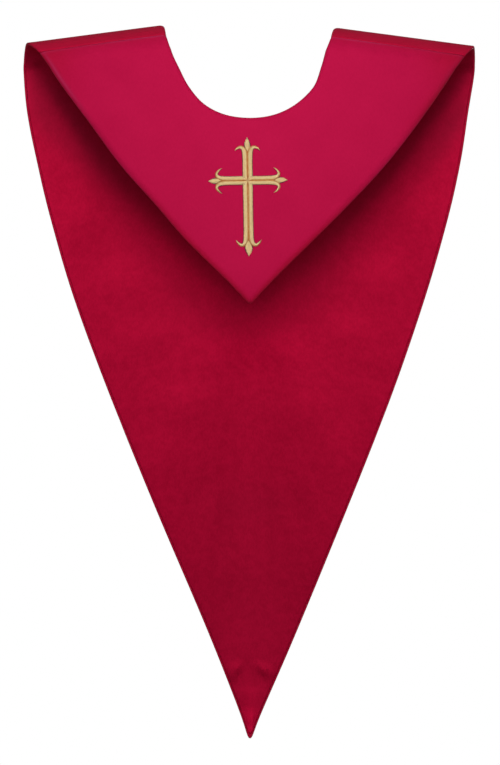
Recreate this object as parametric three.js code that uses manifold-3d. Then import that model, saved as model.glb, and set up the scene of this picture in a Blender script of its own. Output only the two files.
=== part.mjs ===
// A V-neck choir stole in red satin: a short pointed panel on the chest and a long one down the
// back, sewn and turned, the back with a lining of the same satin, and a raised gold cross on the
// front. It keeps the hollow form that it has on a singer's shoulders, with nobody in it, and sits
// a little unevenly.
//
// Millimetres. +Z is up, the front panel faces -Y, and X runs across the shoulders. The origin is
// on the centre line between the two neck points, level with the underside of the cloth there.
//
// Every piece is laid out on one draped surface, which a point reaches by two distances: x, across
// the shoulders, and s, along the cloth from the crest of the shoulder, below zero down the front
// and above zero down the back.

import * as THREE from 'three';
import { mergeVertices } from 'three/addons/utils/BufferGeometryUtils.js';
import Module from 'manifold-3d';

const FRONT = -1;
const BACK = 1;
const LEFT = -1; // as it is seen from the front
const RIGHT = 1;
const RIGHT_ANGLE = Math.PI / 2;

// ---- Driving sizes ------------------------------------------------------------------------

const layer = 1.1; // one layer of satin with its interfacing
const seamGap = 0.3; // between two pieces that are sewn together
const clothDepth = 2 * layer + seamGap; // face and lining

const neckHalf = 84; // centre line to neck point
const shoulderHalf = 222; // centre line to the outer end of the shoulder
const shoulderFall = 18; // drop of the crest from neck point to outer end
const leftRise = 1.5; // the left shoulder rides this much over the mean, the right one under it
const foldRise = 28; // height of the round fold over the shoulder
const foldHalfNeck = 48; // half the depth of that fold, on the centre line
const foldHalfTip = 33; // and at its outer end
const seamDrop = 11; // shoulder seam, below the crest at the front

const chest = { swell: 20, reach: 190 }; // how far the front panel stands out, and by what drop
const blades = { swell: 14, reach: 210 }; // the same for the back panel
const trough = { depth: 5, spread: 40, from: -260, to: -660 }; // soft fold down the back
const frontTip = { curl: -2.5, from: -235, over: 40 }; // the points curl forwards or back
const backTip = { curl: -10, from: -560, over: 155 };

const edgeRoll = { width: 12, depth: 3 }; // the turned edge rolls inwards

// ---- The cut: where the edges of the panels lie ----------------------------------------------
// The neck edge and the outer edge, left and right of the centre line.

// At the shoulder seam, where front and back meet.
const SEAM_ROW = { neckLeft: 83.5, neckRight: 80.5, left: 210.5, right: 214.5 };

// On the fold, a row for each angle past the crest, in degrees.
const FOLD_ROWS = [
  { turn: -26, neckLeft: 85.0, neckRight: 82.5, left: 219.2, right: 222.0 },
  { turn: 0, neckLeft: 86.0, neckRight: 84.0, left: 223.7, right: 224.5 },
  { turn: 30, neckLeft: 86.5, neckRight: 84.5, left: 226.2, right: 226.0 },
  { turn: 60, neckLeft: 86.5, neckRight: 84.0, left: 227.9, right: 226.7 },
  { turn: 90, neckLeft: 85.0, neckRight: 82.5, left: 228.3, right: 226.0 },
];

// Below the fold, with the heights of the two edges.
const FRONT_ROWS = [
  { neckLeft: 78.0, neckRight: 75.0, neckZ: -25, left: 192.5, right: 198.6, z: -52 },
  { neckLeft: 70.0, neckRight: 70.0, neckZ: -43, left: 160.3, right: 168.1, z: -96 },
  { neckLeft: 60.0, neckRight: 62.5, neckZ: -62, left: 128.6, right: 134.6, z: -139 },
  { neckLeft: 45.0, neckRight: 45.0, neckZ: -79, left: 93.8, right: 98.1, z: -178.5 },
  { neckLeft: 24.5, neckRight: 24.0, neckZ: -89.3, left: 59.2, right: 58.5, z: -218 },
  { neckLeft: 0, neckRight: 0, neckZ: -92.6, left: 0, right: 0, z: -277 },
];
const BACK_ROWS = [
  { neckLeft: 81.0, neckRight: 79.0, neckZ: -36, left: 224.8, right: 220.1, z: -82 },
  { neckLeft: 76.0, neckRight: 76.0, neckZ: -46, left: 215.3, right: 212.8, z: -130 },
  { neckLeft: 70.5, neckRight: 71.5, neckZ: -56, left: 201.1, right: 199.5, z: -190 },
  { neckLeft: 62.0, neckRight: 63.0, neckZ: -68, left: 177.6, right: 176.5, z: -270 },
  { neckLeft: 51.5, neckRight: 51.5, neckZ: -77.5, left: 140.4, right: 141.9, z: -371 },
  { neckLeft: 37.0, neckRight: 37.0, neckZ: -84.5, left: 91.0, right: 94.0, z: -493 },
  { neckLeft: 19.5, neckRight: 19.5, neckZ: -88, left: 39.3, right: 43.8, z: -615 },
  { neckLeft: 0, neckRight: 0, neckZ: -89.5, left: 0, right: 0, z: -714.5 },
];

const frontCells = { alongRow: 3, across: 10 };
const backCells = { alongRow: 2, across: 12 };

// ---- The draped surface --------------------------------------------------------------------

const midShare = (x) => 1 - (x / shoulderHalf) ** 2;
const easeOut = (t) => Math.sin(RIGHT_ANGLE * THREE.MathUtils.clamp(t, 0, 1));
const pastSquared = (t) => Math.max(0, t) ** 2;

// Height of the crest of the shoulder's outer face. Across the neck it is a low arch.
function crestHeight(x) {
  const slope = shoulderFall / (shoulderHalf - neckHalf);
  const past = Math.abs(x) - neckHalf;
  const arch = (slope * (neckHalf ** 2 - x ** 2)) / (2 * neckHalf);
  return clothDepth - leftRise * Math.tanh(x / 60) + (past > 0 ? -slope * past : arch);
}

const foldHalf = (x) => foldHalfTip + (foldHalfNeck - foldHalfTip) * midShare(x);

// Length of cloth from the crest to the foot of the fold, a quarter of an ellipse.
function foldLength(x) {
  const a = foldHalf(x);
  const sum = 3 * (a + foldRise);
  return (Math.PI / 4) * (sum - Math.sqrt((3 * a + foldRise) * (a + 3 * foldRise)));
}

// How far a panel stands out past the fold's own depth, at x and height z.
function standOut(x, z, side) {
  const { swell, reach } = side === FRONT ? chest : blades;
  const swollen = swell * midShare(x) * easeOut((crestHeight(x) - z) / reach);
  const tip = side === FRONT ? frontTip : backTip;
  const curled = swollen + tip.curl * pastSquared((tip.from - z) / tip.over);
  if (side === FRONT) return curled;
  const along = THREE.MathUtils.clamp((trough.from - z) / (trough.from - trough.to), 0, 1);
  return curled + trough.depth * Math.exp(-((x / trough.spread) ** 2)) * Math.sin(Math.PI * along) ** 2;
}

function drape(x, s) {
  const side = s < 0 ? FRONT : BACK;
  const run = Math.abs(s);
  const length = foldLength(x);
  if (run < length) {
    const angle = (RIGHT_ANGLE * run) / length;
    const z = crestHeight(x) - foldRise * (1 - Math.cos(angle));
    return new THREE.Vector3(x, side * (foldHalf(x) * Math.sin(angle) + standOut(x, z, side)), z);
  }
  const z = crestHeight(x) - foldRise - (run - length);
  return new THREE.Vector3(x, side * (foldHalf(x) + standOut(x, z, side)), z);
}

// The surface's outward direction, away from the hollow.
function outward(x, s) {
  const h = 0.5;
  const across = drape(x + h, s).sub(drape(x - h, s));
  const along = drape(x, s + h).sub(drape(x, s - h));
  return across.cross(along).normalize();
}

const onFold = (x, degrees) => [x, (foldLength(x) * degrees) / 90];
const atHeight = (x, z, side) => [x, side * (foldLength(x) + crestHeight(x) - foldRise - z)];

// ---- Panels, lofted through ribs that run from neck edge to outer edge -------------------------

const seamTurn = -THREE.MathUtils.radToDeg(Math.acos(1 - seamDrop / foldRise));

function rib(row, side, hand) {
  const neckX = hand * (hand === LEFT ? row.neckLeft : row.neckRight);
  const outerX = hand * (hand === LEFT ? row.left : row.right);
  if (row.turn !== undefined) return { neck: onFold(neckX, row.turn), outer: onFold(outerX, row.turn) };
  return { neck: atHeight(neckX, row.neckZ, side), outer: atHeight(outerX, row.z, side) };
}

// The seam's rib, moved off the seam by half a gap towards its own panel.
function seamRib(side, hand) {
  const ends = rib({ ...SEAM_ROW, turn: seamTurn }, side, hand);
  ends.neck[1] += (side * seamGap) / 2;
  ends.outer[1] += (side * seamGap) / 2;
  return ends;
}

// All the ribs of a panel, from the left shoulder's seam round below the neck to the right one's.
function band(rows, side) {
  const [left, right] = [LEFT, RIGHT].map((hand) => [
    seamRib(side, hand),
    ...rows.map((row) => rib(row, side, hand)),
  ]);
  return [...left, ...right.reverse().slice(1)];
}

// A smooth line through points, with `cells` steps between two of them. It turns sharply at the
// point whose number is `corner`.
function smoothLine(points, cells, corner) {
  const fine = [];
  for (let k = 0; k < points.length - 1; k++) {
    const [q, r] = [points[k], points[k + 1]];
    const p = k === 0 || k === corner ? q : points[k - 1];
    const t = k + 2 === points.length || k + 1 === corner ? r : points[k + 2];
    for (let i = 0; i < cells; i++) {
      const share = i / cells;
      fine.push(
        q.map((here, axis) => {
          const [v0, v1] = [(r[axis] - p[axis]) / 2, (t[axis] - here) / 2];
          const rise = r[axis] - here;
          return ((v0 + v1 - 2 * rise) * share + 3 * rise - 2 * v0 - v1) * share ** 2 + v0 * share + here;
        }),
      );
    }
  }
  fine.push(points.at(-1));
  return fine;
}

// A grid of {point, normal} over a whole panel, column by column from one shoulder to the other.
function panelGrid(ribs, { alongRow, across }) {
  const tip = (ribs.length - 1) / 2;
  const neckLine = smoothLine(ribs.map((one) => one.neck), alongRow);
  const outerLine = smoothLine(ribs.map((one) => one.outer), alongRow, tip);
  return neckLine.map((neck, k) => {
    const outer = outerLine[k];
    const before = outerLine[Math.max(k - 1, 0)];
    const after = k === tip * alongRow ? outer : outerLine[Math.min(k + 1, outerLine.length - 1)];
    const edge = new THREE.Vector2(after[0] - before[0], after[1] - before[1]).normalize();
    const ribLine = new THREE.Vector2(outer[0] - neck[0], outer[1] - neck[1]);
    const reach = Math.abs(edge.cross(ribLine));
    return Array.from({ length: across + 1 }, (_, j) => {
      const b = (j / across + Math.sin((RIGHT_ANGLE * j) / across)) / 2; // closer at the outer edge
      const [x, s] = [0, 1].map((axis) => neck[axis] + (outer[axis] - neck[axis]) * b);
      const normal = outward(x, s);
      const roll = edgeRoll.depth * pastSquared(1 - (reach * (1 - b)) / edgeRoll.width);
      return { point: drape(x, s).addScaledVector(normal, -roll), normal };
    });
  });
}

// A closed wall over a grid, from depth `near` to depth `far` under its outer face.
function wall(grid, near, far) {
  const columns = grid.length;
  const rows = grid[0].length;
  const positions = [];
  for (const depth of [near, far]) {
    for (const { point, normal } of grid.flat()) {
      positions.push(...point.clone().addScaledVector(normal, -depth).toArray());
    }
  }
  const at = (i, j, inner) => (inner ? columns * rows : 0) + i * rows + j;
  const index = [];
  const quad = (a, b, c, d) => index.push(a, b, c, a, c, d);
  for (let i = 0; i < columns - 1; i++) {
    for (let j = 0; j < rows - 1; j++) {
      quad(at(i, j), at(i, j + 1), at(i + 1, j + 1), at(i + 1, j));
      quad(at(i, j, true), at(i + 1, j, true), at(i + 1, j + 1, true), at(i, j + 1, true));
    }
    quad(at(i, 0), at(i + 1, 0), at(i + 1, 0, true), at(i, 0, true));
    quad(at(i, rows - 1), at(i, rows - 1, true), at(i + 1, rows - 1, true), at(i + 1, rows - 1));
  }
  for (let j = 0; j < rows - 1; j++) {
    quad(at(0, j), at(0, j, true), at(0, j + 1, true), at(0, j + 1));
    quad(at(columns - 1, j), at(columns - 1, j + 1), at(columns - 1, j + 1, true), at(columns - 1, j, true));
  }
  return new THREE.BufferGeometry()
    .setAttribute('position', new THREE.Float32BufferAttribute(positions, 3))
    .setIndex(index);
}

// ---- The embroidered cross, in strokes of raised satin stitch ------------------------------------
// Each beam is two rows of stitching side by side, which turn outwards at both ends and curl back
// as barbs. A pointed leaf stands between the barbs.

const cross = {
  x: -1.9, // its crossing, on the front panel
  z: -154.5,
  lean: 0.9, // degrees, foot towards +X
  height: 1.5, // of the stitching over the cloth
};
const barb = { turnIn: 12, bend: 5, side: 12.4, point: 0.12 };
const upright = { half: 4.7, out: ['head', 'foot'] };
const beam = { half: 4.1, out: ['left', 'right'] };

// Each arm runs from the crossing along (u, v). `curl` is how far out the barbs reach, `back` how
// far they curl back from there, and `tip` where the leaf ends.
const ARMS = {
  head: { u: 0, v: 1, curl: 33.6, back: 3.6, tip: 43.3, leafHalf: 2.9 },
  foot: { u: 0, v: -1, curl: 64.6, back: 5.6, tip: 75.0, leafHalf: 3.5 },
  left: { u: -1, v: 0, curl: 31.2, back: 5.8, tip: 39.6, leafHalf: 2.8 },
  right: { u: 1, v: 0, curl: 31.2, back: 5.8, tip: 39.8, leafHalf: 2.8 },
};

// A point of the embroidery: u across, v up from the crossing, and its height over the cloth.
function onCross(u, v, height) {
  const lean = THREE.MathUtils.degToRad(cross.lean);
  const x = cross.x + u * Math.cos(lean) - v * Math.sin(lean);
  const z = cross.z + u * Math.sin(lean) + v * Math.cos(lean);
  const [, s] = atHeight(x, z, FRONT);
  return drape(x, s).addScaledVector(outward(x, s), seamGap + height);
}

// A stroke along a line whose points hold u, v and, as z, the half width there.
function stroke(line) {
  const crown = [0.35, 0.86, 1, 0.86, 0.35];
  const ring = line.map((here, k) => {
    const next = line[Math.min(k + 1, line.length - 1)];
    const prev = line[Math.max(k - 1, 0)];
    const run = Math.hypot(next.x - prev.x, next.y - prev.y);
    const place = (share, height) => {
      const u = here.x + (here.z * share * (next.y - prev.y)) / run;
      const v = here.y - (here.z * share * (next.x - prev.x)) / run;
      return onCross(u, v, height);
    };
    const low = Math.min(1, 0.35 + here.z); // a narrow stroke lies lower
    const top = crown.map((share, i) => place((2 * i) / (crown.length - 1) - 1, cross.height * low * share));
    return [place(-1, 0), ...top, place(1, 0)];
  });
  const around = ring[0].length;
  const index = [];
  for (let k = 0; k < ring.length - 1; k++) {
    for (let i = 0; i < around; i++) {
      const [a, b] = [k * around + i, k * around + ((i + 1) % around)];
      index.push(a, b, b + around, a, b + around, a + around);
    }
  }
  const end = (ring.length - 1) * around;
  for (let i = 1; i < around - 1; i++) {
    index.push(0, i + 1, i);
    index.push(end, end + i, end + i + 1);
  }
  return new THREE.BufferGeometry()
    .setAttribute('position', new THREE.Float32BufferAttribute(ring.flat().flatMap((p) => p.toArray()), 3))
    .setIndex(index);
}

// The way of one row of stitches from a beam into its barb: distance out, distance to the side
// from the beam's middle, and half width.
function barbLine(arm, half) {
  const wide = half / 2 + 0.12;
  return [
    [arm.curl - barb.turnIn, half / 2, wide],
    [arm.curl - barb.bend, half / 2 + 0.5, wide],
    [arm.curl - 1.6, half / 2 + 2.2, 0.78 * wide],
    [arm.curl - 0.6, half / 2 + 4.9, 0.55 * wide],
    [arm.curl - 0.5 * arm.back, barb.side - 2.1, 0.38 * wide],
    [arm.curl - arm.back, barb.side, barb.point],
  ];
}

// One row of stitches, from the point of one barb through the beam to the point of the other.
function beamRow({ half, out }, hand) {
  const [first, last] = out.map((name) => ARMS[name]);
  const side = { u: hand * Math.abs(first.v), v: hand * Math.abs(first.u) };
  const place = (arm) => ([along, aside, wide]) =>
    new THREE.Vector3(arm.u * along + side.u * aside, arm.v * along + side.v * aside, wide);
  const points = [...barbLine(first, half).reverse().map(place(first)), ...barbLine(last, half).map(place(last))];
  return new THREE.CatmullRomCurve3(points, false, 'centripetal').getPoints(2 * (points.length - 1));
}

// The leaf, from its root between the barbs to its tip.
function leafLine(arm) {
  const root = arm.curl - 9;
  return [0.55, 0.7, 1, 0.93, 0.55, 0.04].map((share, k) => {
    const along = root + ((arm.tip - root) * k) / 5;
    return new THREE.Vector3(arm.u * along, arm.v * along, arm.leafHalf * share);
  });
}

const manifold = await Module();
manifold.setup();

function solidOf(geometry) {
  const merged = mergeVertices(geometry, 1e-4);
  return new manifold.Manifold(
    new manifold.Mesh({
      numProp: 3,
      vertProperties: merged.attributes.position.array,
      triVerts: new Uint32Array(merged.index.array),
    }),
  );
}

function crossGeometry() {
  const beamRows = [upright, beam].flatMap((one) => [beamRow(one, LEFT), beamRow(one, RIGHT)]);
  const leaves = Object.values(ARMS).map(leafLine);
  const strokes = [...beamRows, ...leaves].map((line) => solidOf(stroke(line)));
  const mesh = strokes.reduce((whole, one) => whole.add(one)).getMesh();
  return new THREE.BufferGeometry()
    .setAttribute('position', new THREE.Float32BufferAttribute(mesh.vertProperties, 3))
    .setIndex(new THREE.Uint32BufferAttribute(mesh.triVerts, 1));
}

// ---- The stole -------------------------------------------------------------------------------

const crimsonSatin = new THREE.MeshStandardMaterial({ color: '#b71444', roughness: 0.45 });
const liningSatin = new THREE.MeshStandardMaterial({ color: '#a8092f', roughness: 0.5 });
const goldThread = new THREE.MeshStandardMaterial({ color: '#c9b26f', roughness: 0.5, metalness: 0.15 });

const frontGrid = panelGrid(band(FRONT_ROWS, FRONT), frontCells);

// The back's ribs climb from the seam over the crest before they go down, and its grid is walked
// from the right shoulder, so that its faces turn away from the hollow as the front's do.
const backGrid = panelGrid(band([...FOLD_ROWS, ...BACK_ROWS], BACK), backCells).reverse();

const stole = new THREE.Group();

function add(name, geometry, material) {
  geometry.computeVertexNormals();
  const mesh = new THREE.Mesh(geometry, material);
  mesh.name = name;
  stole.add(mesh);
}

add('front_panel', wall(frontGrid, 0, clothDepth), crimsonSatin);
add('back_panel', wall(backGrid, 0, layer), crimsonSatin);
add('back_lining', wall(backGrid, layer + seamGap, clothDepth), liningSatin);
add('cross_embroidery', crossGeometry(), goldThread);

export default stole;
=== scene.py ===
# A V-neck choir stole in red satin with a gold embroidered cross, in the hollow form that it has on
# a singer's shoulders. Metres, +Z up, the front panel faces -Y, and X runs across the shoulders.

import math

import bpy
import numpy as np
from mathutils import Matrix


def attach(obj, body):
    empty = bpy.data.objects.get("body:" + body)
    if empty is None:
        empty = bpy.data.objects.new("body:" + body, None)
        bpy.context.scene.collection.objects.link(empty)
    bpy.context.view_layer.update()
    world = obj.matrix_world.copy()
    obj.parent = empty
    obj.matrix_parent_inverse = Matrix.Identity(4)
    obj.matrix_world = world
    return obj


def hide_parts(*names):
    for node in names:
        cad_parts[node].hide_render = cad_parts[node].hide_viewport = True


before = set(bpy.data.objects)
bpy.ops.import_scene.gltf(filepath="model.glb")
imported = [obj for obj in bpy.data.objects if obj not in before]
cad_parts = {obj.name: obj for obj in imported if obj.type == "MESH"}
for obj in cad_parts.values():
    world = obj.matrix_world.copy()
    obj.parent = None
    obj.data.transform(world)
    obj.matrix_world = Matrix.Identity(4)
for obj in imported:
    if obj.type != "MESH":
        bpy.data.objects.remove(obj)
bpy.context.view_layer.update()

# ---- Camera --------------------------------------------------------------------------------------
# Level and straight in front, so far away that both shoulders are seen alike. The stole fills its
# frame from the shoulders to the back's point.

MM = 0.001
RIGHT_ANGLE = math.pi / 2
IMAGE_LONG_SIDE = 765  # pixels, one for each millimetre on the shoulders' plane
CAMERA_AWAY = 4.0
CAMERA_HEIGHT = -353.7 * MM
scene = bpy.context.scene


def put(name, data):
    """A new object in the scene, unturned and at the origin."""
    thing = bpy.data.objects.new(name, data)
    scene.collection.objects.link(thing)
    return thing


camera_data = bpy.data.cameras.new("camera")
camera_data.lens = camera_data.sensor_width * CAMERA_AWAY / (IMAGE_LONG_SIDE * MM)
camera = put("camera", camera_data)
camera.location = (0, -CAMERA_AWAY, CAMERA_HEIGHT)
camera.rotation_euler = (RIGHT_ANGLE, 0, 0)
scene.camera = camera

# ---- Room ----------------------------------------------------------------------------------------
# A pale floor well below the stole, which its wearer would stand on, and soft studio light: two
# boxes in front, a weak one overhead, a strip at each side for the edges, and one aslant behind.

FLOOR_DROP = 1.38  # from the shoulders of a standing singer
FLOOR_RADIUS = 2.1
FLOOR_SIDES = 96
FLOOR_SHADE = (0.8, 0.79, 0.78, 1)
FLOOR_ROUGHNESS = 0.7
FLOOR_GLOW = {"Color": (0.82, 0.81, 0.80, 1), "Strength": 0.8}
GLOW_SHARE = 0.8  # how much of the floor is seen by its own even glow
floor_mesh = bpy.data.meshes.new("floor")
turns = np.linspace(0, 2 * math.pi, FLOOR_SIDES, endpoint=False)
ring = [(FLOOR_RADIUS * math.cos(a), FLOOR_RADIUS * math.sin(a), -FLOOR_DROP) for a in turns]
floor_mesh.from_pydata(ring, [], [tuple(range(FLOOR_SIDES))])
floor = put("floor", floor_mesh)


class Wire:
    """An output of a material's node. Arithmetic on wires and numbers adds Math nodes."""

    def __init__(self, tree, socket):
        self.tree, self.socket = tree, socket

    def maths(self, operation, first, second):
        settings = {"operation": operation}
        return add_node(self.tree, "ShaderNodeMath", settings, {0: first, 1: second})

    def __add__(self, other):
        return self.maths("ADD", self, other)

    def __sub__(self, other):
        return self.maths("SUBTRACT", self, other)

    def __rsub__(self, other):
        return self.maths("SUBTRACT", other, self)

    def __mul__(self, other):
        return self.maths("MULTIPLY", self, other)

    __radd__ = __add__
    __rmul__ = __mul__


def add_node(tree, kind, settings, inputs, output=0):
    """Adds a node: its settings first, then the values or wires of its sockets."""
    node = tree.nodes.new(kind)
    for name, value in settings.items():
        setattr(node, name, value)
    for name, value in inputs.items():
        if isinstance(value, Wire):
            tree.links.new(value.socket, node.inputs[name])
        else:
            node.inputs[name].default_value = value
    return Wire(tree, node.outputs[output])


def new_material(name):
    """An empty node material, its tree, and its Principled shader."""
    material = bpy.data.materials.new(name)
    material.use_nodes = True
    tree = material.node_tree
    shader = next(node for node in tree.nodes if node.type == "BSDF_PRINCIPLED")
    return material, tree, shader


floor_finish, floor_tree, floor_shader = new_material("pale_floor")
floor_shader.inputs["Base Color"].default_value = FLOOR_SHADE
floor_shader.inputs["Roughness"].default_value = FLOOR_ROUGHNESS
floor_end = next(node for node in floor_tree.nodes if node.type == "OUTPUT_MATERIAL")
even = add_node(floor_tree, "ShaderNodeEmission", {}, FLOOR_GLOW)
glow = GLOW_SHARE * add_node(floor_tree, "ShaderNodeLightPath", {}, {})
lit = Wire(floor_tree, floor_shader.outputs[0])
pale = add_node(floor_tree, "ShaderNodeMixShader", {}, {0: glow, 1: lit, 2: even})
floor_tree.links.new(pale.socket, floor_end.inputs["Surface"])
floor_mesh.materials.append(floor_finish)


def soft_light(name, place, aim, size, watts, spread=math.pi):
    """A square soft box that points at a place."""
    data = bpy.data.lights.new(name, "AREA")
    data.shape = "RECTANGLE"
    data.size, data.size_y = size
    data.energy = watts
    data.spread = spread
    light = put(name, data)
    light.location = place
    light.visible_camera = False
    way = np.array(aim) - np.array(place)
    tilt = math.acos(-way[2] / np.linalg.norm(way))
    light.rotation_euler = (tilt, 0, math.atan2(way[0], -way[1]) + math.pi)


NARROW = math.radians(95)  # a soft box with a deep rim
soft_light("front_soft_box", (0, -1.65, 0.2), (0, 0, -0.05), (0.9, 1.2), watts=3.7, spread=NARROW)
soft_light("high_soft_box", (0, -1.3, 0.45), (0, 0, 0.05), (0.7, 0.4), watts=2.05, spread=NARROW)
soft_light("top_soft_box", (0, -0.3, 1.1), (0, 0, 0), (0.8, 0.5), watts=0.8)
for name, x in (("left_strip", -2.4), ("right_strip", 2.4)):
    soft_light(name, (x, 0.9, -0.6), (0, 0.02, -0.3), (0.5, 1.4), watts=2)
soft_light("back_soft_box", (0.4, 2.3, 0.0), (0, 0, -0.3), (0.9, 0.9), watts=27)

ROOM_LIGHT = {"Color": (1, 0.98, 0.97, 1), "Strength": 0.16}
BACKDROP = {"Color": (1, 1, 1, 1), "Strength": 1.0}
world = bpy.data.worlds.new("studio")
scene.world = world
world.use_nodes = True
sky = world.node_tree
sky.nodes.clear()
around = add_node(sky, "ShaderNodeBackground", {}, ROOM_LIGHT)
behind = add_node(sky, "ShaderNodeBackground", {}, BACKDROP)
seen = add_node(sky, "ShaderNodeLightPath", {}, {})
mixed = add_node(sky, "ShaderNodeMixShader", {}, {0: seen, 1: around, 2: behind})
sky_out = sky.nodes.new("ShaderNodeOutputWorld")
sky.links.new(mixed.socket, sky_out.inputs["Surface"])
scene.view_settings.view_transform = "Standard"
scene.view_settings.look = "None"

# ---- Front panel ---------------------------------------------------------------------------------
# The short pointed panel on the chest: satin on light interfacing, faced and turned right side out,
# so that its edges are soft rolls. It hangs from the two shoulder seams and stands off the back.

FRONT, BACK = -1, 1
LEFT, RIGHT = -1, 1  # as it is seen from the front

LAYER = 1.1 * MM  # one layer of satin with its interfacing
SEAM_GAP = 0.3 * MM
CLOTH_DEPTH = 2 * LAYER + SEAM_GAP

NECK_HALF = 84 * MM
SHOULDER_HALF = 222 * MM
SHOULDER_FALL = 18 * MM
LEFT_RISE = 1.5 * MM  # the left shoulder rides this much over the mean
RISE_REACH = 60 * MM  # from the centre line to where it does so
FOLD_RISE = 28 * MM  # height of the round fold over the shoulder
FOLD_HALF_NECK = 48 * MM
FOLD_HALF_TIP = 33 * MM
SEAM_DROP = 13 * MM

SWELL = {FRONT: 20 * MM, BACK: 14 * MM}  # how far a panel stands out
SWELL_REACH = {FRONT: 190 * MM, BACK: 210 * MM}
TROUGH = {"depth": 5 * MM, "spread": 40 * MM, "from": -260 * MM, "to": -660 * MM}
TIP_CURL = {FRONT: -2.5 * MM, BACK: -10 * MM}
TIP_FROM = {FRONT: -235 * MM, BACK: -560 * MM}
TIP_OVER = {FRONT: 40 * MM, BACK: 155 * MM}


def fading(away, reach):
    """1 at a place, and softly less with the distance from it."""
    return np.exp(-((away / reach) ** 2))


def mid_share(x):
    """1 on the centre line, 0 at the outer end of the shoulder."""
    return 1 - (x / SHOULDER_HALF) ** 2


def crest_height(x):
    """Height of the crest of the shoulder's outer face, a low arch across the neck."""
    slope = SHOULDER_FALL / (SHOULDER_HALF - NECK_HALF)
    past = np.abs(x) - NECK_HALF
    arch = slope * (NECK_HALF**2 - x**2) / (2 * NECK_HALF)
    uneven = LEFT_RISE * np.tanh(x / RISE_REACH)
    return CLOTH_DEPTH - uneven + np.where(past > 0, -slope * past, arch)


def fold_half(x):
    """Half the depth of the fold over the shoulder."""
    return FOLD_HALF_TIP + (FOLD_HALF_NECK - FOLD_HALF_TIP) * mid_share(x)


def fold_length(x):
    """Length of cloth from the crest to the foot of the fold, a quarter of an ellipse."""
    half = fold_half(x)
    root = np.sqrt((3 * half + FOLD_RISE) * (half + 3 * FOLD_RISE))
    return math.pi / 4 * (3 * (half + FOLD_RISE) - root)


def stand_out(x, z, side):
    """How far a panel stands out past the fold's own depth."""
    risen = np.clip((crest_height(x) - z) / SWELL_REACH[side], 0, 1)
    swollen = SWELL[side] * mid_share(x) * np.sin(RIGHT_ANGLE * risen)
    past_tip = np.maximum(0, (TIP_FROM[side] - z) / TIP_OVER[side])
    curled = swollen + TIP_CURL[side] * past_tip**2
    if side == FRONT:
        return curled
    along = np.clip((TROUGH["from"] - z) / (TROUGH["from"] - TROUGH["to"]), 0, 1)
    ridge = fading(x, TROUGH["spread"]) * np.sin(math.pi * along) ** 2
    return curled + TROUGH["depth"] * ridge


def drape(x, s):
    """The cloth's outer face, x across the shoulders and s along the cloth from the crest."""
    length = fold_length(x)
    run = np.abs(s)
    angle = RIGHT_ANGLE * np.minimum(run / length, 1)
    z = crest_height(x) - FOLD_RISE * (1 - np.cos(angle)) - np.maximum(run - length, 0)
    round_out = fold_half(x) * np.sin(angle)
    y_front = -(round_out + stand_out(x, z, FRONT))
    y_back = round_out + stand_out(x, z, BACK)
    return np.stack([x, np.where(s < 0, y_front, y_back), z], -1)


def outward(x, s):
    """The outer face's direction, away from the hollow."""
    step = 0.5 * MM
    across = drape(x + step, s) - drape(x - step, s)
    along = drape(x, s + step) - drape(x, s - step)
    normal = np.cross(across, along)
    return normal / np.linalg.norm(normal, axis=-1, keepdims=True)


def at_height(x, z, side):
    """The cloth distance of a point below the fold."""
    return side * (fold_length(x) + crest_height(x) - FOLD_RISE - z)


def rib(row, side, hand):
    """The two ends of a line from the neck edge to the outer edge, as (x, s), from a row in mm."""
    neck_x = hand * MM * row["neck_left" if hand == LEFT else "neck_right"]
    outer_x = hand * MM * row["left" if hand == LEFT else "right"]
    if "turn" in row:
        return [(x, float(fold_length(x)) * row["turn"] / 90) for x in (neck_x, outer_x)]
    return [
        (neck_x, float(at_height(neck_x, row["neck_z"] * MM, side))),
        (outer_x, float(at_height(outer_x, row["z"] * MM, side))),
    ]


SEAM_TURN = -math.degrees(math.acos(1 - SEAM_DROP / FOLD_RISE))
SEAM_ROW = {"turn": SEAM_TURN, "neck_left": 83.2, "neck_right": 80.2, "left": 209.6, "right": 213.7}
SEAM_START = {FRONT: 0.8 * MM, BACK: SEAM_GAP / 2}  # the front panel's edge is tucked under


def seam_rib(side, hand):
    """The line beside the seam where a panel starts."""
    return [(x, s + SEAM_START[side]) for x, s in rib(SEAM_ROW, side, hand)]


def band(rows, side):
    """All the ribs of a panel from the left shoulder round below the neck to the right one."""
    left, right = (
        [seam_rib(side, hand), *(rib(row, side, hand) for row in rows)] for hand in (LEFT, RIGHT)
    )
    return np.array([*left, *right[-2::-1]])


def line_at(points, t, corner=None):
    """A smooth line through points, at places t counted in points. It turns sharply at a corner."""
    last = len(points) - 1
    k = np.minimum(t.astype(int), last - 1)
    share = (t - k)[:, None]
    before = np.where((k == 0) | (k == corner), k, k - 1)
    after = np.where((k + 1 == last) | (k + 1 == corner), k + 1, k + 2)
    q, r = points[k], points[k + 1]
    v0, v1 = (r - points[before]) / 2, (points[after] - q) / 2
    rise = r - q
    return ((v0 + v1 - 2 * rise) * share + 3 * rise - 2 * v0 - v1) * share**2 + v0 * share + q


def reach_of(line, other, corner=None):
    """How far a line's ribs reach from it, square to it."""
    before = np.arange(len(line)) - 1
    after = np.arange(len(line)) + 1
    before[0], after[-1] = 0, len(line) - 1
    if corner is not None:
        after[corner] = corner
    edge = line[after] - line[before]
    edge /= np.linalg.norm(edge, axis=1, keepdims=True)
    ribs = other - line
    return np.abs(edge[:, 0] * ribs[:, 1] - edge[:, 1] * ribs[:, 0])


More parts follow.
